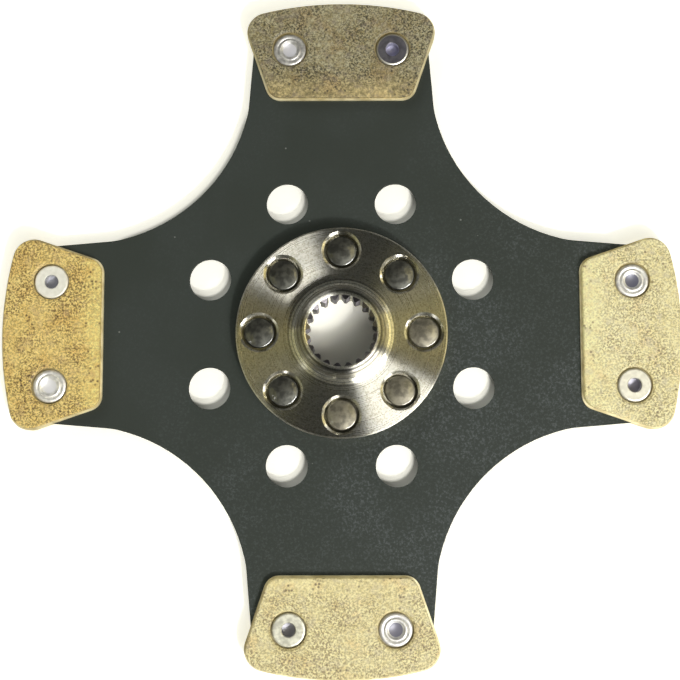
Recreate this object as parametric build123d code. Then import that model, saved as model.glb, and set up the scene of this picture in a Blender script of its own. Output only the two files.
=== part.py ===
from build123d import *
import os
from math import acos, asin, copysign, cos, degrees, pi, radians, sin, sqrt, tan

# Rigid four-paddle clutch disc: a splined steel hub riveted to a stamped cross-shaped carrier plate,
# with a sintered friction pad on both sides of each arm. All lengths are millimetres.
# Frame: origin on the spline axis, in the plane of the rear friction faces; +Z towards the long
# boss of the hub; the four arms lie along +X, +Y, -X and -Y.

# Friction pads
DISC_OD = 240.0             # over the outer arcs of the pads
PAD_DEPTH = 35.7            # outer arc to the straight inner edge, along the arm
PAD_INNER_WIDTH = 51.4      # along the inner edge, before its corners are rounded
PAD_FLARE_ANGLE = 19.0      # each side edge to the centre line of the arm, degrees
PAD_INNER_CORNER = 5.5
PAD_OUTER_CORNER = 7.5
BACKING_T = 0.8             # steel backing plate under the sintered lining
LINING_T = 2.0
LINING_INSET = 0.7          # edge of the backing that shows all round the lining
LINING_EDGE = 0.35          # broken edge round the friction face

# Carrier plate
ARMS = 4
PLATE_T = 2.0
WAIST_REACH = 70.6          # spline axis to the nearest point of the arc between two arms
SHOULDER_REACH = 81.0       # spline axis to where that arc runs into the straight arm edge
SHOULDER_WIDTH = 66.8       # arm width there
SHOULDER_BLEND = 30.0       # radius that eases the arc into the straight edge
ARM_TAPER_ANGLE = 4.8       # each straight arm edge to the centre line of the arm, degrees
ARM_SETBACK = 3.6           # end of the arm inside the outer arc of the pads
ARM_CORNER = 6.0
PLATE_EDGE = 0.25           # broken edges of the stamping
RELIEF_HOLES = 8
RELIEF_PCD = 101.0
RELIEF_D = 14.8

# Hub
SPLINE_TEETH = 20
SPLINE_MINOR_D = 22.2       # over the tips of the teeth
SPLINE_DEPTH = 1.4
SPLINE_PRESSURE_ANGLE = 37.5
SPLINE_PHASE = 11.0         # direction of one tooth from +X, degrees
MOUTH_LAND = 0.4            # width of the bevelled ring outside the tooth spaces
BOSS_WALL = 3.0             # outside the tooth spaces
BOSS_HEIGHT = 6.0           # above the flange face
BOSS_EDGE = 1.8             # rounded top edge of the boss
BOSS_FILLET = 2.9           # between the boss and the flange face
PILOT_WALL = 6.5            # outside the tooth spaces, behind the flange
PILOT_LENGTH = 4.4          # from the flange seat to the rear end of the hub
PILOT_CLEARANCE = 0.05      # radial, in the carrier plate
PILOT_EDGE = 0.6
FLANGE_T = 5.2
FLANGE_EDGE = 0.5
FLANGE_LAND = 1.2           # between a rivet recess and the edge of the flange

# Hub rivets
HUB_RIVETS = 8
HUB_RIVET_PCD = 57.8
HUB_SHANK_D = 8.0
HUB_HEAD_D = 10.8
HUB_HEAD_RIM = 1.3          # height of the head at its rounded rim
HUB_HEAD_ROUND = 0.8        # radius of that rim
HUB_HEAD_CROWN = 0.6        # rise of the dome above the rim
HUB_HEAD_GAP = 0.8          # radial, head in its recess in the flange
HUB_RECESS_BEVEL = 0.8
HUB_RECESS_DEPTH = 2.6
HUB_CLOSING_D = 12.0        # head formed behind the carrier plate
HUB_CLOSING_HEIGHT = 2.0
HUB_CLOSING_RIM = 0.4       # straight edge of that head

# Pad rivets: heights of the head and of the tubular end are over their own seats
PAD_RIVET_SETBACK = 17.3    # outer arc of the pads to the line through the two rivets of an arm
PAD_RIVET_PITCH = 37.0
PAD_SHANK_D = 7.0
PAD_HEAD_D = 11.7
PAD_HEAD_EDGE = 0.4         # height of the straight edge of the head
PAD_HEAD_CROWN = 1.0        # height of its crowned flange
PAD_HEAD_GROOVE = 0.65      # height of the groove inside that flange
PAD_HEAD_RING = 1.2         # height of the raised ring inside the groove
PAD_HEAD_RING_D = 7.0       # over the crest of the ring
PAD_HEAD_RING_WIDTH = 1.2
PAD_DIMPLE_DEPTH = 0.9      # hollow inside the ring, below the groove
PAD_HOLLOW_D = 4.8          # blind hole of the tubular end
PAD_HOLLOW_POINT = 0.6      # conical end of that hole
PAD_WEB = 0.55              # metal left between that end and the hollow of the head
PAD_ROLL_D = 11.9           # tubular end, set flat over the backing
PAD_ROLL_HEIGHT = 1.2
PAD_ROLL_ROUND = 0.8        # outer edge of the set end
PAD_ROLL_BEVEL = 0.3        # inner edge of the set end
PAD_HEAD_GAP = 0.35         # radial, widest end of a rivet in its hole through the lining
PAD_RECESS_BEVEL = 0.8      # broken edge of that hole
RIVET_CLEARANCE = 0.05      # radial, shank in its hole

CUTTER_OVERRUN = 1.0        # how far a cutter runs past the face that it opens

# Heights of the stack, from the rear friction faces forwards
REAR_BACKING_Z = LINING_T
PLATE_Z = REAR_BACKING_Z + BACKING_T
FRONT_BACKING_Z = PLATE_Z + PLATE_T
FRONT_LINING_Z = FRONT_BACKING_Z + BACKING_T

# Radii and reaches that follow from the sizes above
TIP_R = SPLINE_MINOR_D / 2
ROOT_R = TIP_R + SPLINE_DEPTH
MOUTH_R = ROOT_R + MOUTH_LAND
BOSS_R = ROOT_R + BOSS_WALL
PILOT_R = ROOT_R + PILOT_WALL
HUB_RECESS_R = HUB_HEAD_D / 2 + HUB_HEAD_GAP + HUB_RECESS_BEVEL
FLANGE_R = HUB_RIVET_PCD / 2 + HUB_RECESS_R + FLANGE_LAND
PAD_INNER_REACH = DISC_OD / 2 - PAD_DEPTH
PAD_RIVET_REACH = DISC_OD / 2 - PAD_RIVET_SETBACK
PAD_RECESS_D = max(PAD_HEAD_D, PAD_ROLL_D) + 2 * PAD_HEAD_GAP
ARM_STEP = 360 / ARMS


def polar(radius, direction):
    """Point at a radius and a direction from +X in degrees."""
    return (radius * cos(radians(direction)), radius * sin(radians(direction)))


def through_holes(spots, diameter, low, high):
    """Round cutters with centres at spots, running past both faces at low and high."""
    height = high - low + 2 * CUTTER_OVERRUN
    cutter = Cylinder(diameter / 2, height, align=(Align.CENTER, Align.CENTER, Align.MIN))
    return [Pos(x, y, low - CUTTER_OVERRUN) * cutter for x, y in spots]


def turned(profile):
    """Solid of revolution about Z from a closed profile drawn in the XZ plane."""
    return revolve(make_face(profile), Axis.Z)


def at(radius, height):
    """Point of a turned profile."""
    return (radius, 0, height)


def cap(apex, radius, rim):
    """Spherical cap of a turned profile, from its apex on the axis out to its rim."""
    rise = apex - rim
    sphere_r = (radius ** 2 + rise ** 2) / (2 * abs(rise))
    sag = sphere_r - sqrt(sphere_r ** 2 - (radius / 2) ** 2)
    return ThreePointArc(at(0, apex), at(radius / 2, apex - copysign(sag, rise)), at(radius, rim))


def quarter_round(start, end, centre):
    """Quarter circle of a turned profile from start to end about centre."""
    middle = (Vector(*start) + Vector(*end)) / 2 - Vector(*centre)
    return ThreePointArc(start, Vector(*centre) + middle * sqrt(2), end)


# ---------------------------------------------------------------- hub

def spline_prism(length):
    """Bore with involute tooth spaces around it, as a prism of the given length standing on Z = 0."""
    pitch_r = (TIP_R + ROOT_R) / 2
    base_r = pitch_r * cos(radians(SPLINE_PRESSURE_ANGLE))
    step = 360 / SPLINE_TEETH

    def involute(radius):
        pressure = acos(base_r / radius)
        return tan(pressure) - pressure

    def space_half_angle(radius):
        at_pitch = pi / (2 * SPLINE_TEETH) + involute(pitch_r)
        return degrees(at_pitch - involute(radius))

    edges = []
    for index in range(SPLINE_TEETH):
        tooth = SPLINE_PHASE + index * step
        middle = tooth + step / 2
        rise = [polar(r, middle - space_half_angle(r)) for r in (TIP_R, pitch_r, ROOT_R)]
        fall = [polar(r, middle + space_half_angle(r)) for r in (ROOT_R, pitch_r, TIP_R)]
        next_rise = polar(TIP_R, middle + step - space_half_angle(TIP_R))
        edges.append(ThreePointArc(*rise))
        edges.append(ThreePointArc(rise[2], polar(ROOT_R, middle), fall[0]))
        edges.append(ThreePointArc(*fall))
        edges.append(ThreePointArc(fall[2], polar(TIP_R, tooth + step), next_rise))
    return extrude(make_face(edges), length)


def hub_recess_cutters():
    """Stepped cutters for the rivet recesses and shank holes of the flange."""
    seat = FLANGE_T - HUB_RECESS_DEPTH
    wall_r = HUB_RECESS_R - HUB_RECESS_BEVEL
    shank_r = HUB_SHANK_D / 2 + RIVET_CLEARANCE
    below = -CUTTER_OVERRUN
    above = FLANGE_T + CUTTER_OVERRUN
    cutter = turned(Polyline(
        at(0, below),
        at(shank_r, below),
        at(shank_r, seat),
        at(wall_r, seat),
        at(wall_r, FLANGE_T - HUB_RECESS_BEVEL),
        at(HUB_RECESS_R + CUTTER_OVERRUN, above),
        at(0, above),
        close=True,
    ))
    return [Pos(x, y, FRONT_BACKING_Z) * cutter for x, y in hub_rivet_spots()]


def hub_rivet_spots():
    return [polar(HUB_RIVET_PCD / 2, index * 360 / HUB_RIVETS) for index in range(HUB_RIVETS)]


def make_hub():
    """One turned and broached forging: rear pilot, flange and front boss around the spline."""
    seat = FRONT_BACKING_Z
    face = seat + FLANGE_T
    rear = seat - PILOT_LENGTH
    front = face + BOSS_HEIGHT
    fillet_r = BOSS_R + BOSS_FILLET
    crown_r = BOSS_R - BOSS_EDGE
    shoulder = front - BOSS_EDGE
    outline = [
        Polyline(
            at(0, front),
            at(0, rear),
            at(PILOT_R - PILOT_EDGE, rear),
            at(PILOT_R, rear + PILOT_EDGE),
            at(PILOT_R, seat),
            at(FLANGE_R - FLANGE_EDGE, seat),
            at(FLANGE_R, seat + FLANGE_EDGE),
            at(FLANGE_R, face - FLANGE_EDGE),
            at(FLANGE_R - FLANGE_EDGE, face),
            at(fillet_r, face),
        ),
        quarter_round(at(fillet_r, face), at(BOSS_R, face + BOSS_FILLET), at(fillet_r, face + BOSS_FILLET)),
        Line(at(BOSS_R, face + BOSS_FILLET), at(BOSS_R, shoulder)),
        quarter_round(at(BOSS_R, shoulder), at(crown_r, front), at(crown_r, shoulder)),
        Line(at(crown_r, front), at(0, front)),
    ]
    bevel = MOUTH_R - TIP_R
    standing = (Align.CENTER, Align.CENTER, Align.MIN)
    hanging = (Align.CENTER, Align.CENTER, Align.MAX)
    rear_bevel = Pos(0, 0, rear) * Cone(MOUTH_R, TIP_R, bevel, align=standing)
    front_bevel = Pos(0, 0, front) * Cone(TIP_R, MOUTH_R, bevel, align=hanging)
    bore = Pos(0, 0, rear) * spline_prism(front - rear)
    hub = turned(outline) - bore - rear_bevel - front_bevel
    for cutter in hub_recess_cutters():
        hub -= cutter
    return hub


def make_hub_rivet():
    """Solid rivet: domed head in the flange recess, closing head formed behind the plate."""
    seat = FRONT_BACKING_Z + FLANGE_T - HUB_RECESS_DEPTH
    head_r = HUB_HEAD_D / 2
    shank_r = HUB_SHANK_D / 2
    closing_r = HUB_CLOSING_D / 2
    rim = seat + HUB_HEAD_RIM
    dome_r = head_r - HUB_HEAD_ROUND
    turn = rim - HUB_HEAD_ROUND
    closing_rim = PLATE_Z - HUB_CLOSING_RIM
    tail = PLATE_Z - HUB_CLOSING_HEIGHT
    outline = [
        Line(at(0, tail), at(0, rim + HUB_HEAD_CROWN)),
        cap(rim + HUB_HEAD_CROWN, dome_r, rim),
        quarter_round(at(dome_r, rim), at(head_r, turn), at(dome_r, turn)),
        Polyline(
            at(head_r, turn),
            at(head_r, seat),
            at(shank_r, seat),
            at(shank_r, PLATE_Z),
            at(closing_r, PLATE_Z),
            at(closing_r, closing_rim),
        ),
        cap(tail, closing_r, closing_rim),
    ]
    return turned(outline)


# ---------------------------------------------------------------- carrier plate

def plate_outline():
    """Cross of four tapering arms joined by hollow arcs, each arm ending in an arc under its pads."""
    end_r = DISC_OD / 2 - ARM_SETBACK
    shoulder = (SHOULDER_REACH, SHOULDER_WIDTH / 2)
    taper = radians(ARM_TAPER_ANGLE)
    # Distance from the axis to the straight edge, and where that edge meets the end arc.
    edge_offset = shoulder[1] * cos(taper) + shoulder[0] * sin(taper)
    tip_angle = degrees(asin(edge_offset / end_r)) - ARM_TAPER_ANGLE
    shoulder_r = sqrt(shoulder[0] ** 2 + shoulder[1] ** 2)
    shoulder_angle = degrees(asin(shoulder[1] / shoulder_r))
    edges = []
    for arm in range(ARMS):
        aim = arm * ARM_STEP
        tip_low = polar(end_r, aim - tip_angle)
        tip_high = polar(end_r, aim + tip_angle)
        low = polar(shoulder_r, aim - shoulder_angle)
        high = polar(shoulder_r, aim + shoulder_angle)
        waist = polar(WAIST_REACH, aim + ARM_STEP / 2)
        next_low = polar(shoulder_r, aim + ARM_STEP - shoulder_angle)
        edges.append(Line(low, tip_low))
        edges.append(ThreePointArc(tip_low, polar(end_r, aim), tip_high))
        edges.append(Line(tip_high, high))
        edges.append(ThreePointArc(high, waist, next_low))
    outline = make_face(edges)
    by_reach = outline.vertices().sort_by(lambda vertex: Vector(*vertex).length)
    outline = fillet(by_reach[:2 * ARMS], SHOULDER_BLEND)
    by_reach = outline.vertices().sort_by(lambda vertex: Vector(*vertex).length)
    return fillet(by_reach[-2 * ARMS:], ARM_CORNER)


def pad_rivet_spots():
    """Centres of the two rivets of the arm along +X."""
    return [(PAD_RIVET_REACH, side * PAD_RIVET_PITCH / 2) for side in (1, -1)]


def make_carrier_plate():
    plate = Pos(0, 0, PLATE_Z) * extrude(plate_outline(), PLATE_T)
    faces = plate.faces().filter_by(Axis.Z)
    plate = chamfer(faces.edges(), PLATE_EDGE)
    pilot_hole_d = 2 * (PILOT_R + PILOT_CLEARANCE)
    rivet_hole_d = PAD_SHANK_D + 2 * RIVET_CLEARANCE
    hub_hole_d = HUB_SHANK_D + 2 * RIVET_CLEARANCE
    relief_step = 360 / RELIEF_HOLES
    relief = [polar(RELIEF_PCD / 2, (index + 0.5) * relief_step) for index in range(RELIEF_HOLES)]
    top = PLATE_Z + PLATE_T
    cutters = through_holes([(0, 0)], pilot_hole_d, PLATE_Z, top)
    cutters += through_holes(hub_rivet_spots(), hub_hole_d, PLATE_Z, top)
    cutters += through_holes(relief, RELIEF_D, PLATE_Z, top)
    for arm in range(ARMS):
        holes = through_holes(pad_rivet_spots(), rivet_hole_d, PLATE_Z, top)
        cutters += [Rot(0, 0, arm * ARM_STEP) * hole for hole in holes]
    for cutter in cutters:
        plate -= cutter
    return plate


# ---------------------------------------------------------------- pads

def pad_outline(inset):
    """Pad on the arm along +X: straight inner edge, flared sides, arc at the outside diameter."""
    reach = DISC_OD / 2
    inner = PAD_INNER_WIDTH / 2
    outer = inner + (reach - PAD_INNER_REACH) * tan(radians(PAD_FLARE_ANGLE))
    wedge = Polygon(
        (PAD_INNER_REACH, -inner),
        (reach, -outer),
        (reach, outer),
        (PAD_INNER_REACH, inner),
        align=None,
    )
    outline = wedge & Rot(0, 0, 180) * Circle(reach)
    outline = fillet(outline.vertices().group_by(Axis.X)[0], PAD_INNER_CORNER)
    by_side = outline.vertices().sort_by(Axis.Y)
    outline = fillet([by_side[0], by_side[-1]], PAD_OUTER_CORNER)
    return offset(outline, -inset) if inset else outline


def make_backing():
    """Steel backing plate, standing on Z = 0."""
    backing = extrude(pad_outline(0), BACKING_T)
    for cutter in through_holes(pad_rivet_spots(), PAD_SHANK_D + 2 * RIVET_CLEARANCE, 0, BACKING_T):
        backing -= cutter
    return backing


def make_lining():
    """Sintered lining, standing on Z = 0 with its friction face up."""
    lining = extrude(pad_outline(LINING_INSET), LINING_T)
    for cutter in through_holes(pad_rivet_spots(), PAD_RECESS_D, 0, LINING_T):
        lining -= cutter
    rims = lining.faces().sort_by(Axis.Z)[-1].inner_wires()
    lining = chamfer([edge for rim in rims for edge in rim.edges()], PAD_RECESS_BEVEL)
    return chamfer(lining.faces().sort_by(Axis.Z)[-1].outer_wire().edges(), LINING_EDGE)


def make_pad_rivet():
    """Semi-tubular rivet, front end up: ringed head at the top, tubular end set flat below."""
    head_r = PAD_HEAD_D / 2
    shank_r = PAD_SHANK_D / 2
    hollow_r = PAD_HOLLOW_D / 2
    roll_r = PAD_ROLL_D / 2
    ring_in = (PAD_HEAD_RING_D - PAD_HEAD_RING_WIDTH) / 2
    ring_out = (PAD_HEAD_RING_D + PAD_HEAD_RING_WIDTH) / 2
    head_seat = FRONT_LINING_Z
    edge = head_seat + PAD_HEAD_EDGE
    crown = at((ring_out + head_r) / 2, head_seat + PAD_HEAD_CROWN)
    groove = head_seat + PAD_HEAD_GROOVE
    crest = at(PAD_HEAD_RING_D / 2, head_seat + PAD_HEAD_RING)
    dimple = groove - PAD_DIMPLE_DEPTH
    roll_seat = REAR_BACKING_Z
    roll = roll_seat - PAD_ROLL_HEIGHT
    roll_edge = roll + PAD_ROLL_ROUND
    hollow_end = dimple - PAD_WEB - PAD_HOLLOW_POINT
    outline = [
        cap(dimple, ring_in, groove),
        ThreePointArc(at(ring_in, groove), crest, at(ring_out, groove)),
        ThreePointArc(at(ring_out, groove), crown, at(head_r, edge)),
        Polyline(
            at(head_r, edge),
            at(head_r, head_seat),
            at(shank_r, head_seat),
            at(shank_r, roll_seat),
            at(roll_r, roll_seat),
            at(roll_r, roll_edge),
        ),
        quarter_round(
            at(roll_r, roll_edge),
            at(roll_r - PAD_ROLL_ROUND, roll),
            at(roll_r - PAD_ROLL_ROUND, roll_edge),
        ),
        Polyline(
            at(roll_r - PAD_ROLL_ROUND, roll),
            at(hollow_r + PAD_ROLL_BEVEL, roll),
            at(hollow_r, roll + PAD_ROLL_BEVEL),
            at(hollow_r, hollow_end),
            at(0, hollow_end + PAD_HOLLOW_POINT),
            at(0, dimple),
        ),
    ]
    return turned(outline)


def turned_over(piece):
    """The piece with its ends exchanged about the middle of the stack."""
    return Pos(0, 0, 2 * PLATE_Z + PLATE_T) * (Rot(180, 0, 0) * piece)


# ---------------------------------------------------------------- assembly

def make_parts():
    parts = {"carrier_plate": make_carrier_plate(), "hub": make_hub()}
    hub_rivet = make_hub_rivet()
    for index, (x, y) in enumerate(hub_rivet_spots(), start=1):
        parts[f"hub_rivet_{index}"] = Pos(x, y, 0) * hub_rivet

    front_backing = Pos(0, 0, FRONT_BACKING_Z) * make_backing()
    front_lining = Pos(0, 0, FRONT_LINING_Z) * make_lining()
    head_in_front = make_pad_rivet()
    head_behind = turned_over(head_in_front)
    for arm in range(ARMS):
        turn = Rot(0, 0, arm * ARM_STEP)
        name = arm + 1
        parts[f"front_lining_{name}"] = turn * front_lining
        parts[f"front_backing_{name}"] = turn * front_backing
        parts[f"rear_backing_{name}"] = turn * turned_over(front_backing)
        parts[f"rear_lining_{name}"] = turn * turned_over(front_lining)
        (x1, y1), (x2, y2) = pad_rivet_spots()
        parts[f"pad_rivet_{2 * arm + 1}"] = turn * Pos(x1, y1, 0) * head_in_front
        parts[f"pad_rivet_{2 * arm + 2}"] = turn * Pos(x2, y2, 0) * head_behind
    return parts


os.makedirs("parts", exist_ok=True)
for node, solid in make_parts().items():
    export_step(solid, f"parts/{node}.step")
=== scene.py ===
from math import cos, pi, radians, sin

import bpy
from mathutils import Euler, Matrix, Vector


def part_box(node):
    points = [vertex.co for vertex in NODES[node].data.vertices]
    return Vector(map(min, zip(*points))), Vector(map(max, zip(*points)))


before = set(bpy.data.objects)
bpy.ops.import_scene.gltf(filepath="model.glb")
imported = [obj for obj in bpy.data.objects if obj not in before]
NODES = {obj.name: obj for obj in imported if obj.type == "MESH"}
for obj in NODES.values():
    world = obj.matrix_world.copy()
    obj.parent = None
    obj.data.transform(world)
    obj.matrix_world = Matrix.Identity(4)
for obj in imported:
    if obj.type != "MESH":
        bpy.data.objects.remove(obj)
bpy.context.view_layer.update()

# Looks and studio for the clutch disc. Lengths are in metres, in the frame of the CAD model: the spline
# axis is Z, the disc lies on Z = 0 and its four arms lie along +X, +Y, -X and -Y.

MM = 0.001


def middle(name):
    """Centre of the box round a CAD node."""
    low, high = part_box(name)
    return (low + high) / 2


# Sizes and places that the frame gives. Looks repeat with the arms, so one piece stands for its pattern.
PLATE_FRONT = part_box("carrier_plate")[1].z
PLATE_MIDDLE = middle("carrier_plate").z
PAD_INNER_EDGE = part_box("front_backing_1")[0].x
PAD_RIVET = tuple(middle("pad_rivet_1").xy)
PAD_RIVET_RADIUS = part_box("pad_rivet_1")[1].x - middle("pad_rivet_1").x
HUB_RIVETS = [tuple(middle(name).xy) for name in ("hub_rivet_1", "hub_rivet_2")]

# Distances from the middle of the plate, up and down, to the mouth of the holes in the pad rivets and to
# the lower end of the painted shade on their upper wall.
HOLE_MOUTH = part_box("pad_rivet_1")[1].z - PLATE_MIDDLE
HOLE_WALL_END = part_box("front_lining_1")[0].z - PLATE_MIDDLE

# Radii that no box gives, each the reach of a look on the CAD pieces.
BORE_SHADE_REACH = 12.4 * MM           # the spline, darkened as painted shade, inside the bevelled mouth of the hub
BOSS_REACH = 18.2 * MM           # the ridges on the boss and its fillet
RECESS_SHADE_REACH = 6.0 * MM           # the painted shade round a hub rivet, in its recess
HOLE_REACH = 2.35 * MM           # the hole in a pad rivet
BACKING_GAP_SHADE_REACH = 6.5 * MM    # the painted shade round a pad rivet on the backing plates, at the foot of the gap round its head
LINING_GAP_SHADE_REACH = 6.33 * MM    # the painted shade on the wall of the hole through a lining, in the gap round a pad rivet

# Relief holes of the plate, and the place of the one between +X and the diagonal.
RELIEF_RADIUS = 7.4 * MM
RELIEF_PITCH_RADIUS = 50.5 * MM
RELIEF_DIRECTION = radians(22.5)
RELIEF_HOLE = (RELIEF_PITCH_RADIUS * cos(RELIEF_DIRECTION), RELIEF_PITCH_RADIUS * sin(RELIEF_DIRECTION))

# Low and high end of the noise that a band takes, for soft patches and for clearer ones.
SOFT = (0.3, 0.7)
CLEAR = (0.35, 0.65)


def rgb(red, green, blue):
    """Screen colour, 0 to 255 a channel, as the linear colour that a shader takes."""
    def linear(channel):
        value = channel / 255
        return value / 12.92 if value <= 0.04045 else ((value + 0.055) / 1.055) ** 2.4
    return (linear(red), linear(green), linear(blue), 1)


# ---------------------------------------------------------------- shader nodes

class Shader:
    """A material with a Principled shader, and short calls for the nodes that feed it."""

    def __init__(self, name, **constants):
        self.material = bpy.data.materials.new(name)
        self.material.use_nodes = True
        self.tree = self.material.node_tree
        self.surface = self.tree.nodes["Principled BSDF"]
        for socket, value in constants.items():
            self.surface.inputs[socket.replace("_", " ")].default_value = value
        self.place = self.node("ShaderNodeTexCoord").outputs["Object"]

    def node(self, kind, inputs=None, **settings):
        """New node with these settings, its inputs fed."""
        node = self.tree.nodes.new(kind)
        for name, value in settings.items():
            setattr(node, name, value)
        for socket, value in (inputs or {}).items():
            self.feed(value, node.inputs[socket])
        return node

    def feed(self, value, socket):
        """Links an output, or sets a plain value."""
        if isinstance(value, bpy.types.NodeSocket):
            self.tree.links.new(value, socket)
        else:
            socket.default_value = value

    def drive(self, socket, value):
        """Feeds an input of the Principled shader."""
        self.feed(value, self.surface.inputs[socket])

    def noise(self, size, detail=2.0, roughness=0.5, place=None):
        """Smooth noise, 0 to 1, whose blotches are about size across."""
        inputs = {"Vector": place or self.place, "Scale": 1 / size,
                  "Detail": detail, "Roughness": roughness}
        return self.node("ShaderNodeTexNoise", inputs).outputs["Fac"]

    def cells(self, size):
        """Distance, in sizes, to the nearest of scattered points about size apart."""
        inputs = {"Vector": self.place, "Scale": 1 / size}
        return self.node("ShaderNodeTexVoronoi", inputs).outputs["Distance"]

    def band(self, value, low, high, start=0.0, end=1.0):
        """Value taken smoothly from start at low to end at high, and held outside."""
        inputs = {"Value": value, "From Min": low, "From Max": high, "To Min": start, "To Max": end}
        return self.node("ShaderNodeMapRange", inputs, interpolation_type="SMOOTHSTEP").outputs["Result"]

    def within(self, distance, reach, ease, level=1.0):
        """Level up to a reach, and 0 from an ease beyond it."""
        return self.band(distance, reach, reach + ease, level, 0)

    def opposite(self, value):
        """1 where a value is 0, and 0 where it is 1."""
        return self.band(value, 0, 1, 1, 0)

    def math(self, operation, first, second=0.0):
        """Result of a sum on one or two values."""
        return self.node("ShaderNodeMath", {0: first, 1: second}, operation=operation).outputs["Value"]

    def mix(self, share, first, second):
        """Colour between first, at share 0, and second, at share 1."""
        node = self.node("ShaderNodeMix", data_type="RGBA")
        self.feed(share, node.inputs["Factor"])
        self.feed(first, node.inputs["A"])
        self.feed(second, node.inputs["B"])
        return node.outputs["Result"]

    def times(self, color, level):
        """Colour brightened or darkened by a level."""
        node = self.node("ShaderNodeVectorMath", {0: color}, operation="SCALE")
        self.feed(level, node.inputs["Scale"])
        return node.outputs["Vector"]

    def steps(self, distance, levels, ease=0.25):
        """Level that changes at each distance of a list, over the length of an ease, all in millimetres."""
        result = levels[0][1]
        for (_, before), (start, level) in zip(levels, levels[1:]):
            low, high = (start - ease / 2) * MM, (start + ease / 2) * MM
            result = self.math("ADD", result, self.band(distance, low, high, 0, level - before))
        return result

    def axes(self):
        """Distances from the disc's centre along X, Y and Z."""
        node = self.node("ShaderNodeSeparateXYZ", {"Vector": self.place})
        return node.outputs["X"], node.outputs["Y"], node.outputs["Z"]

    def spot_distance(self, *spots, shift=(0, 0)):
        """Distance across the disc from the nearest of some spots and of their images on the other arms.

        The disc is folded onto its eighth between +X and the diagonal, after a shift along X and Y.
        """
        x, y, _ = self.axes()
        x = self.math("ABSOLUTE", self.math("ADD", x, shift[0]))
        y = self.math("ABSOLUTE", self.math("ADD", y, shift[1]))
        folded = {"X": self.math("MAXIMUM", x, y), "Y": self.math("MINIMUM", x, y)}
        place = self.node("ShaderNodeCombineXYZ", folded).outputs["Vector"]
        distances = [self.distance(place, (*spot, 0)) for spot in spots]
        nearest = distances[0]
        for distance in distances[1:]:
            nearest = self.math("MINIMUM", nearest, distance)
        return nearest

    def distance(self, place, spot):
        """Distance from a place to a spot."""
        node = self.node("ShaderNodeVectorMath", {0: place, 1: spot}, operation="DISTANCE")
        return node.outputs["Value"]

    def radius(self):
        """Distance from the spline axis."""
        flat = self.node("ShaderNodeVectorMath", {0: self.place, 1: (1, 1, 0)}, operation="MULTIPLY")
        length = self.node("ShaderNodeVectorMath", {0: flat.outputs["Vector"]}, operation="LENGTH")
        return length.outputs["Value"]

    def bump(self, height, depth, strength=1.0, under=None):
        """Normal of a surface whose height runs from 0 to 1 times depth."""
        inputs = {"Height": height, "Distance": depth, "Strength": strength}
        if under:
            inputs["Normal"] = under
        return self.node("ShaderNodeBump", inputs).outputs["Normal"]


def dress(material, *names):
    """Gives CAD nodes a material."""
    for name in names:
        slots = NODES[name].data.materials
        slots.clear()
        slots.append(material)


def numbered(stem, count=4):
    """Names of a row of nodes."""
    return [f"{stem}_{index}" for index in range(1, count + 1)]


# ---------------------------------------------------------------- materials

def carrier_steel():
    """Blackened steel sheet: matt and nearly even, with a few pale specks.

    It has a grain that is stronger in clouds, and it is painted stronger towards the lower right, on the
    key lamp's side, as a painted sheen.
    """
    shader = Shader("blackened_steel", Roughness=0.7, Metallic=0.0, Specular_IOR_Level=0.12)
    cloud = shader.noise(30 * MM, 3)
    grain = shader.noise(0.9 * MM, 3, 0.7)
    tone = shader.mix(shader.band(cloud, *CLEAR), rgb(54, 59, 53), rgb(57, 62, 57))
    x, y, _ = shader.axes()
    # Painted sheen: the pale grain grows towards the lower right, on the key lamp's side.
    lower_right = shader.band(shader.math("SUBTRACT", x, y), -60 * MM, 60 * MM, 0.1, 1)
    worn = shader.math("MULTIPLY", lower_right, shader.band(cloud, 0.42, 0.6, 0.35, 1))
    bare = shader.math("MULTIPLY", worn, shader.band(grain, 0.46, 0.7, 0, 0.9))
    tone = shader.mix(bare, tone, rgb(88, 93, 91))
    specks = shader.band(shader.cells(13 * MM), 0.018, 0.03, 0.6, 0)
    tone = shader.mix(specks, tone, rgb(140, 142, 134))
    shader.drive("Base Color", tone)
    shader.drive("Normal", shader.bump(grain, 0.02 * MM, 0.5))
    return shader.material


# Painted light and shade on the hub's turned rings: a level that brightens or darkens each ring, after the
# radius in millimetres where it starts.
HUB_RING_LIGHT_AND_SHADE = ((0, 1.0), (12.4, 1.5), (13.5, 0.45), (14.3, 0.75), (14.6, 0.45), (15.4, 0.9), (16.3, 0.5),
              (16.6, 1.8), (17.4, 0.9), (17.7, 1.7), (18.4, 0.6), (18.9, 0.96), (28, 0.92))


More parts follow.
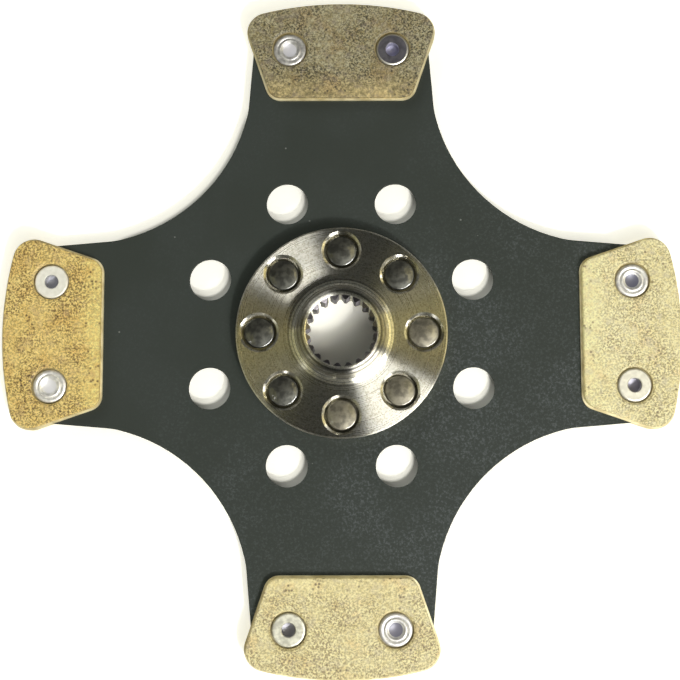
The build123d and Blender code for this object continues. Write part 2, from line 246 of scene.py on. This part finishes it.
def turned_steel():
    """Turned hub: fine rings about the axis, which spread each lamp into a bow tie, with painted light and
    shade ring by ring, painted shade round the rivets, and a spline darkened as painted shade.
    """
    shader = Shader("turned_steel", Metallic=1.0, Anisotropic=1.0, Anisotropic_Rotation=0.25)
    tangent = shader.node("ShaderNodeTangent", direction_type="RADIAL", axis="Z")
    shader.drive("Tangent", tangent.outputs["Tangent"])
    rings = shader.node("ShaderNodeCombineXYZ", {"X": shader.radius()}).outputs["Vector"]
    marks = shader.noise(0.35 * MM, 2, 0.6, rings)
    grain = shader.noise(0.6 * MM, 2, 0.6)
    cloud = shader.noise(9 * MM, 2)
    tone = shader.mix(shader.band(cloud, *CLEAR), rgb(200, 196, 182), rgb(188, 186, 176))
    streaks = shader.noise(0.9 * MM, 2, 0.6, rings)
    tone = shader.mix(shader.band(streaks, 0.4, 0.65, 0, 0.15), tone, rgb(120, 115, 92))
    tone = shader.mix(shader.band(grain, 0.42, 0.66, 0, 0.5), tone, rgb(118, 113, 88))
    # Painted light and shade: each turned ring is brightened or darkened by its level.
    tone = shader.times(tone, shader.steps(shader.radius(), HUB_RING_LIGHT_AND_SHADE))
    # Painted shade in the recess round each hub rivet.
    recess_shade = shader.within(shader.spot_distance(*HUB_RIVETS), RECESS_SHADE_REACH, 0.3 * MM, 0.85)
    tone = shader.mix(recess_shade, tone, rgb(112, 108, 90))
    # Painted shade: the spline inside the mouth is darkened.
    bore = shader.within(shader.radius(), BORE_SHADE_REACH, 0.1 * MM, 0.9)
    shader.drive("Base Color", shader.mix(bore, tone, rgb(86, 82, 88)))
    shader.drive("Roughness", shader.band(marks, *SOFT, 0.26, 0.33))
    boss = shader.within(shader.radius(), BOSS_REACH, 1 * MM)
    ridges = shader.math("MULTIPLY", shader.noise(1.3 * MM, 1, 0.5, rings), boss)
    normal = shader.bump(marks, 0.012 * MM, under=shader.bump(ridges, 0.25 * MM))
    shader.drive("Normal", shader.bump(grain, 0.008 * MM, 1.0, normal))
    return shader.material


def rivet_steel(name, pale, dull, metallic=1.0):
    """Headed steel of the hub rivets, uneven from the die, with a film of oil."""
    shader = Shader(name, Metallic=metallic, Coat_Weight=1.0, Coat_Roughness=0.08)
    cloud = shader.noise(2.2 * MM, 2)
    grain = shader.noise(0.5 * MM, 2, 0.6)
    shader.drive("Base Color", shader.mix(shader.band(cloud, *CLEAR), dull, pale))
    shader.drive("Roughness", shader.band(grain, *SOFT, 0.44, 0.56))
    shader.drive("Normal", shader.bump(cloud, 0.05 * MM))
    shader.drive("Coat Normal", shader.bump(cloud, 0.14 * MM))
    return shader.material


def zinc_plate(name, pale, dull, hole_dull_and_painted_light, metallic=0.5, rim=None, wall=1.0):
    """Bright zinc on the pad rivets, slightly grainy, and dull down their holes.

    A rim can be worn bare. The tone down a hole is partly the plating's own dullness and partly painted
    light and shade, and the upper wall of a hole can be darker than the rest of it, as painted shade.
    """
    shader = Shader(name)
    cloud = shader.noise(1.6 * MM, 2)
    grain = shader.noise(0.4 * MM, 2, 0.6)
    from_axis = shader.spot_distance(PAD_RIVET)
    tone = shader.mix(shader.band(cloud, *SOFT), dull, pale)
    gloss = metallic
    if rim:
        worn = shader.band(from_axis, PAD_RIVET_RADIUS - 0.9 * MM, PAD_RIVET_RADIUS - 0.6 * MM)
        tone = shader.mix(worn, tone, rim)
        gloss = shader.band(worn, 0, 1, metallic, 1)
    _, _, height = shader.axes()
    from_middle = shader.math("ABSOLUTE", shader.math("SUBTRACT", height, PLATE_MIDDLE))
    past_mouth = shader.within(from_middle, HOLE_MOUTH - 0.3 * MM, 0.3 * MM)
    hole = shader.math("MULTIPLY", past_mouth, shader.within(from_axis, HOLE_REACH, 0.15 * MM))
    # Down a hole: its own dull tone, with painted light and shade, and a painted shade on its upper wall.
    level = shader.band(from_middle, HOLE_WALL_END - 0.2 * MM, HOLE_WALL_END, 1, wall)
    shader.drive("Base Color", shader.mix(hole, tone, shader.times(hole_dull_and_painted_light[:3], level)))
    shader.drive("Metallic", shader.math("MULTIPLY", gloss, shader.band(hole, 0, 1, 1, 0.2)))
    shader.drive("Roughness", shader.band(grain, *SOFT, 0.42, 0.55))
    shader.drive("Normal", shader.bump(grain, 0.01 * MM))
    return shader.material


def flashed_sheet():
    """Backing plates: thin sheet with a bronze flash from the sintering, and painted shade round the
    rivets, in the gaps round their heads.
    """
    shader = Shader("flashed_sheet", Metallic=0.3, Roughness=0.5)
    cloud = shader.noise(5 * MM, 3)
    tone = shader.mix(shader.band(cloud, *SOFT), rgb(200, 186, 140), rgb(238, 228, 188))
    # Painted shade at the foot of the gap round each rivet.
    rivet_gap_shade = shader.within(shader.spot_distance(PAD_RIVET), BACKING_GAP_SHADE_REACH, 0.4 * MM, 0.8)
    shader.drive("Base Color", shader.mix(rivet_gap_shade, tone, rgb(172, 160, 116)))
    shader.drive("Normal", shader.bump(shader.noise(0.5 * MM), 0.01 * MM))
    return shader.material


def sintered_bronze(name, pale, gold, warm, speck, fleck, ashen, edge, cover):
    """Sintered lining of pressed metal powder: pale and gold grains, dark specks and clusters of flecks.

    It has warm, ashen and cleaner patches. The band along the inner edge has a tone of its own, and the
    wall of each rivet hole is darker, as painted shade in the gap round the rivet. A larger cover gives
    more flecks.
    """
    shader = Shader(name, Roughness=0.6, Metallic=0.0, Specular_IOR_Level=0.35)
    cloud = shader.noise(13 * MM, 3)
    cluster = shader.noise(4.5 * MM, 3, 0.6)
    mottle = shader.noise(1.5 * MM, 3, 0.65)
    fine = shader.noise(0.7 * MM, 3, 0.7)
    x, y, _ = shader.axes()
    along_arm = shader.math("MAXIMUM", shader.math("ABSOLUTE", x), shader.math("ABSOLUTE", y))
    rim = shader.within(along_arm, PAD_INNER_EDGE + 1 * MM, 11 * MM)
    field = shader.mix(rim, pale, edge)
    patches = shader.math("ADD", shader.band(cloud, *CLEAR, 0, 0.35), shader.band(mottle, *CLEAR, 0, 0.75))
    tone = shader.mix(patches, field, gold)
    warmth = shader.band(shader.noise(9 * MM, 3, 0.6), 0.5, 0.7, 0, 0.4)
    tone = shader.mix(warmth, tone, warm)
    clean = shader.band(shader.noise(10 * MM, 2, 0.6), 0.4, 0.64, 1, 0.55)
    specks = shader.band(fine, 0.4, 0.58, 0.95, 0)
    specks = shader.math("MULTIPLY", specks, shader.band(rim, 0.2, 1, 1, 0.5))
    tone = shader.mix(shader.math("MULTIPLY", specks, clean), tone, speck)
    ash = shader.band(shader.noise(3.2 * MM, 3, 0.6), 0.5, 0.7, 0, 0.4)
    tone = shader.mix(ash, tone, ashen)
    flecks = shader.band(shader.cells(1.5 * MM), 0.14, 0.42, 0.9, 0)
    sparse = 0.62 - 0.3 * cover
    crowd = shader.band(cluster, sparse, sparse + 0.2, 0.15, 1)
    dots = shader.math("MULTIPLY", flecks, crowd)
    tone = shader.mix(dots, tone, fleck)
    # Painted shade on the wall of each rivet hole, in the gap round the rivet.
    rivet_gap_shade = shader.within(shader.spot_distance(PAD_RIVET), LINING_GAP_SHADE_REACH, 0.12 * MM, 0.8)
    shader.drive("Base Color", shader.mix(rivet_gap_shade, tone, rgb(168, 150, 100)))
    pits = shader.math("SUBTRACT", shader.math("MULTIPLY", mottle, 0.5), dots)
    shader.drive("Normal", shader.bump(pits, 0.03 * MM))
    return shader.material


# Looks of the linings. Arm 1 lies along +X, and the others follow counterclockwise.
LININGS = {
    1: dict(pale=rgb(254, 246, 196), gold=rgb(240, 226, 162), warm=rgb(244, 214, 150),
            speck=rgb(158, 140, 94), fleck=rgb(122, 102, 68),
            ashen=rgb(206, 194, 164), edge=rgb(255, 250, 188), cover=0.42),
    2: dict(pale=rgb(188, 180, 144), gold=rgb(146, 132, 88), warm=rgb(166, 134, 82),
            speck=rgb(60, 55, 37), fleck=rgb(62, 58, 46),
            ashen=rgb(132, 120, 108), edge=rgb(232, 208, 144), cover=0.64),
    3: dict(pale=rgb(254, 228, 144), gold=rgb(230, 198, 112), warm=rgb(228, 180, 92),
            speck=rgb(116, 90, 44), fleck=rgb(86, 62, 34),
            ashen=rgb(190, 158, 112), edge=rgb(255, 238, 148), cover=0.62),
    4: dict(pale=rgb(248, 238, 182), gold=rgb(230, 214, 150), warm=rgb(236, 200, 130),
            speck=rgb(146, 126, 84), fleck=rgb(110, 92, 62),
            ashen=rgb(198, 184, 152), edge=rgb(255, 242, 182), cover=0.54),
}

# Looks of the pad rivets, two to an arm. Odd numbers show the head on the front, even ones the tubular end.
# Painted light and shade: the tones, and the tones down the holes, differ from rivet to rivet with how lit
# each one looks, and wall darkens the upper wall of a hole as painted shade.
PAD_RIVETS = {
    1: dict(pale=rgb(222, 220, 214), dull=rgb(192, 190, 186), hole_dull_and_painted_light=rgb(100, 100, 114)),
    2: dict(pale=rgb(210, 207, 192), dull=rgb(192, 189, 174), hole_dull_and_painted_light=rgb(176, 172, 184), wall=0.3),
    3: dict(pale=rgb(200, 198, 192), dull=rgb(158, 156, 152), hole_dull_and_painted_light=rgb(206, 204, 206)),
    4: dict(pale=rgb(98, 96, 102), dull=rgb(76, 74, 80), hole_dull_and_painted_light=rgb(176, 174, 196), rim=rgb(190, 188, 180)),
    5: dict(pale=rgb(236, 234, 226), dull=rgb(204, 202, 196), hole_dull_and_painted_light=rgb(226, 224, 222)),
    6: dict(pale=rgb(246, 243, 228), dull=rgb(234, 231, 214), hole_dull_and_painted_light=rgb(186, 186, 194),
            metallic=0.1, wall=0.5),
    7: dict(pale=rgb(216, 214, 208), dull=rgb(190, 188, 184), hole_dull_and_painted_light=rgb(118, 116, 128)),
    8: dict(pale=rgb(214, 212, 194), dull=rgb(172, 170, 154), hole_dull_and_painted_light=rgb(172, 170, 176), wall=0.35),
}

# Hub rivets on the lower right, the key lamp's side, take a lighter copy of the rivet steel as painted
# light.
LIT_SIDE_HEADS = ("hub_rivet_1", "hub_rivet_7", "hub_rivet_8")

dress(carrier_steel(), "carrier_plate")
dress(turned_steel(), "hub")
dress(rivet_steel("rivet_steel", rgb(84, 84, 78), rgb(60, 60, 56)), *numbered("hub_rivet", 8))
# Lighter copy of the rivet steel for the heads on the key lamp's side: painted light.
dress(rivet_steel("rivet_steel_painted_lit", rgb(126, 121, 105), rgb(92, 88, 76), 0.7), *LIT_SIDE_HEADS)
# Each pad rivet gets its own copy of the zinc, with its painted light and shade.
for index, look in PAD_RIVETS.items():
    dress(zinc_plate(f"zinc_plate_{index}", **look), f"pad_rivet_{index}")
dress(flashed_sheet(), *numbered("front_backing"), *numbered("rear_backing"))
for arm, look in LININGS.items():
    dress(sintered_bronze(f"sintered_bronze_{arm}", **look), f"front_lining_{arm}", f"rear_lining_{arm}")


# ---------------------------------------------------------------- floor

FLOOR_RADIUS = 3.0
WALL_HEIGHT = 0.4                # round the floor, so that low views end in paper too
CREAM_PAPER = (0.93, 0.92, 0.83, 1)
WHITE_PAPER = (0.93, 0.93, 0.92, 1)
CREAM_END = 200 * MM             # from the spline axis, where the cream starts to turn into white
WHITE_START = 800 * MM

# Lift: emission that is added to the paper for the camera and for reflections.
CREAM_LIFT = (1, 0.97, 0.85, 1)
WHITE_LIFT = (1, 1, 1, 1)
NEAR_LIFT = 0.5                  # outside the bore
NEAR_LIFT_BAND = (14 * MM, 40 * MM)
BORE_LIFT = 0.5                  # inside the bore, on the side that the lamps reach
BORE_LIFT_BAND = (-4 * MM, 18 * MM)
BORE_LIT_WAY = (-0.75, 1.2)      # along X and Y, towards that side
FAR_LIFT = 0.7

# Where the plate keeps the key lamp off the paper, as places on the paper. Under each relief hole there is
# a lit patch with a soft edge, and round it shadow. Along the upper left edge, an arc, there is a line.
HOLE_VIEW = 10 * MM                      # covers the paper that shows through a relief hole
PATCH_TO_HOLE = (2.0 * MM, -2.7 * MM)    # towards the key lamp
PATCH_RADIUS = RELIEF_RADIUS - 0.7 * MM
PATCH_EDGE = 2.5 * MM
EDGE_CENTER = (-93.6 * MM, 93.6 * MM)
EDGE_RADIUS = 61 * MM
EDGE_LINE_START = (EDGE_RADIUS - 2.2 * MM, EDGE_RADIUS - 0.2 * MM)
EDGE_LINE_END = (EDGE_RADIUS + 1 * MM, EDGE_RADIUS + 3 * MM)
EDGE_LINE_FADE = (82 * MM, 92 * MM)      # from the spline axis


def near_lift(shader):
    """Lift near the disc: full from some way outside the bore, and inside it on the lit side."""
    x, y, _ = shader.axes()
    x_share, y_share = BORE_LIT_WAY
    lit_side = shader.math("ADD", shader.math("MULTIPLY", x, x_share), shader.math("MULTIPLY", y, y_share))
    outside = shader.band(shader.radius(), *NEAR_LIFT_BAND, 0, NEAR_LIFT)
    inside = shader.band(lit_side, *BORE_LIFT_BAND, 0, BORE_LIFT)
    return shader.math("MAXIMUM", outside, inside)


def hole_shadow(shader):
    """1 on the paper under a relief hole where the key lamp doesn't reach, and 0 elsewhere."""
    under_hole = shader.within(shader.spot_distance(RELIEF_HOLE), HOLE_VIEW, 4 * MM)
    from_patch = shader.spot_distance(RELIEF_HOLE, shift=PATCH_TO_HOLE)
    lit = shader.within(from_patch, PATCH_RADIUS, PATCH_EDGE)
    return shader.math("MULTIPLY", under_hole, shader.opposite(lit))


def edge_shadow(shader):
    """1 along the plate's upper left edge, on a line of paper in its shadow, and 0 elsewhere."""
    from_center = shader.distance(shader.place, (*EDGE_CENTER, 0))
    start = shader.band(from_center, *EDGE_LINE_START)
    line = shader.math("MULTIPLY", start, shader.band(from_center, *EDGE_LINE_END, 1, 0))
    return shader.math("MULTIPLY", line, shader.band(shader.radius(), *EDGE_LINE_FADE, 1, 0))


def white_paper():
    """Plain paper, a little brighter to the camera, so that it reads as a white page.

    Near the disc it is slightly cream, which shows only in the shadows. Where the holes and the upper left
    edge of the disc keep the key lamp off, it gets no lift, so that the shadow stays.
    """
    shader = Shader("white_paper", Roughness=0.9, Specular_IOR_Level=0.0)
    path = shader.node("ShaderNodeLightPath")
    seen = shader.math("MAXIMUM", path.outputs["Is Camera Ray"], path.outputs["Is Glossy Ray"])
    shadow = shader.math("MAXIMUM", hole_shadow(shader), edge_shadow(shader))
    near = shader.math("MULTIPLY", near_lift(shader), shader.opposite(shadow))
    far = shader.band(shader.radius(), CREAM_END, WHITE_START)
    lift = shader.math("MAXIMUM", near, shader.math("MULTIPLY", far, FAR_LIFT))
    shader.drive("Base Color", shader.mix(far, CREAM_PAPER, WHITE_PAPER))
    shader.drive("Emission Color", shader.mix(far, CREAM_LIFT, WHITE_LIFT))
    shader.drive("Emission Strength", shader.math("MULTIPLY", seen, lift))
    return shader.material


def make_floor():
    """Paper under the disc, with a low wall of it all round."""
    bpy.ops.mesh.primitive_plane_add(size=2.2 * FLOOR_RADIUS, location=(0, 0, 0))
    floor = bpy.context.object
    floor.name = "floor"
    bpy.ops.mesh.primitive_cylinder_add(radius=FLOOR_RADIUS, depth=WALL_HEIGHT, vertices=96,
                                        end_fill_type="NOTHING", location=(0, 0, WALL_HEIGHT / 2))
    wall = bpy.context.object
    wall.name = "wall"
    paper = white_paper()
    for piece in (floor, wall):
        piece.data.materials.append(paper)


make_floor()


# ---------------------------------------------------------------- light

WORLD_LEVEL = 0.2
WORLD_MIRRORED = 0.08            # its level where metal mirrors it
WORLD_COLOR = (0.97, 1, 0.95, 1)
GOLD = (1, 0.86, 0.4)
OLIVE = (1, 0.95, 0.44)


def make_world():
    """Even light from all round."""
    world = bpy.data.worlds.new("studio")
    bpy.context.scene.world = world
    world.use_nodes = True
    backdrop = world.node_tree.nodes["Background"]
    backdrop.inputs["Color"].default_value = WORLD_COLOR
    path = world.node_tree.nodes.new("ShaderNodeLightPath")
    pick = world.node_tree.nodes.new("ShaderNodeMix")
    pick.inputs["A"].default_value = WORLD_LEVEL
    pick.inputs["B"].default_value = WORLD_MIRRORED
    world.node_tree.links.new(path.outputs["Is Glossy Ray"], pick.inputs["Factor"])
    world.node_tree.links.new(pick.outputs["Result"], backdrop.inputs["Strength"])


def make_lamp(name, direction, zenith, distance, size, color=(1, 1, 1)):
    """Area lamp aimed at the disc, still without power.

    From the disc it lies in a direction from +X and at a zenith angle from +Z, both in degrees.
    """
    lamp = bpy.data.lights.new(name, "AREA")
    lamp.shape = "RECTANGLE"
    lamp.size, lamp.size_y = size
    lamp.color = color
    holder = bpy.data.objects.new(name, lamp)
    bpy.context.scene.collection.objects.link(holder)
    turn, lean = radians(direction), radians(zenith)
    away = Vector((cos(turn) * sin(lean), sin(turn) * sin(lean), cos(lean)))
    holder.location = away * distance
    holder.rotation_euler = away.to_track_quat("Z", "Y").to_euler()
    return holder


def soft_light(name, share, zenith, distance, **place):
    """Lamp that gives white paper at the disc a share of full brightness, and isn't mirrored in metal."""
    holder = make_lamp(name, zenith=zenith, distance=distance, **place)
    holder.data.energy = share * pi ** 2 * distance ** 2 / cos(radians(zenith))
    holder.visible_glossy = False


def mirror_card(name, level, size, **place):
    """Lamp that only metal and gloss reflect. A flat mirror shows it at its level, where 1 is white."""
    holder = make_lamp(name, size=size, **place)
    holder.data.energy = level * pi * size[0] * size[1]
    holder.visible_diffuse = False


SOFT_LIGHTS = {
    "key": dict(share=0.31, direction=-61, zenith=46, distance=1.1, size=(0.08, 0.08)),
    "fill": dict(share=0.26, direction=-58, zenith=42, distance=1.4, size=(0.8, 0.8)),
    "back": dict(share=0.24, direction=127, zenith=63, distance=1.4, size=(1.2, 0.5)),
}
STRIP_DISTANCE = 1.1
CARD_DISTANCE = 1.2
MIRROR_CARDS = {
    "gold_right": dict(level=2.7, direction=7, zenith=28, size=(0.42, 0.26), color=GOLD),
    "gold_right_side": dict(level=1.3, direction=35, zenith=28, size=(0.3, 0.26), color=GOLD),
    "gold_right_low": dict(level=3.0, direction=8, zenith=74, size=(0.9, 0.5), color=GOLD),
    "gold_left": dict(level=0.8, direction=198, zenith=28, size=(0.7, 0.26), color=OLIVE),
    "gold_left_low": dict(level=0.75, direction=198, zenith=72, size=(1.2, 0.5), color=OLIVE),
    "glint_left": dict(level=12, direction=212, zenith=30, size=(0.08, 0.08)),
    "glint_right": dict(level=12, direction=35, zenith=42, size=(0.08, 0.08)),
}

make_world()
for name, lamp in SOFT_LIGHTS.items():
    soft_light(name, **lamp)
mirror_card("strip", level=72, direction=-48, zenith=46, distance=STRIP_DISTANCE, size=(0.7, 0.2))
for name, card in MIRROR_CARDS.items():
    mirror_card(name, distance=CARD_DISTANCE, **card)


# ---------------------------------------------------------------- camera

# Fitted to the photo. The offset goes right, up and back from the middle of the plate's front, in the
# camera's own directions.
CAMERA_OFFSET = Vector((-0.57, -2.25, 424.9)) * MM
CAMERA_TURN = (radians(5.49), radians(0.29), radians(-0.13))
CAMERA_LENS = 63.6               # millimetres, as is the sensor
SENSOR = 36.0


def make_camera():
    """The photograph's viewing angle."""
    view = bpy.data.cameras.new("camera")
    view.lens = CAMERA_LENS
    view.sensor_width = SENSOR
    view.clip_start = 0.01
    camera = bpy.data.objects.new("camera", view)
    camera.rotation_mode = "ZYX"
    camera.rotation_euler = Euler(CAMERA_TURN, "ZYX")
    turn = camera.rotation_euler.to_matrix()
    camera.location = Vector((0, 0, PLATE_FRONT)) + turn @ CAMERA_OFFSET
    bpy.context.scene.collection.objects.link(camera)
    bpy.context.scene.camera = camera


make_camera()
bpy.context.scene.view_settings.view_transform = "Standard"
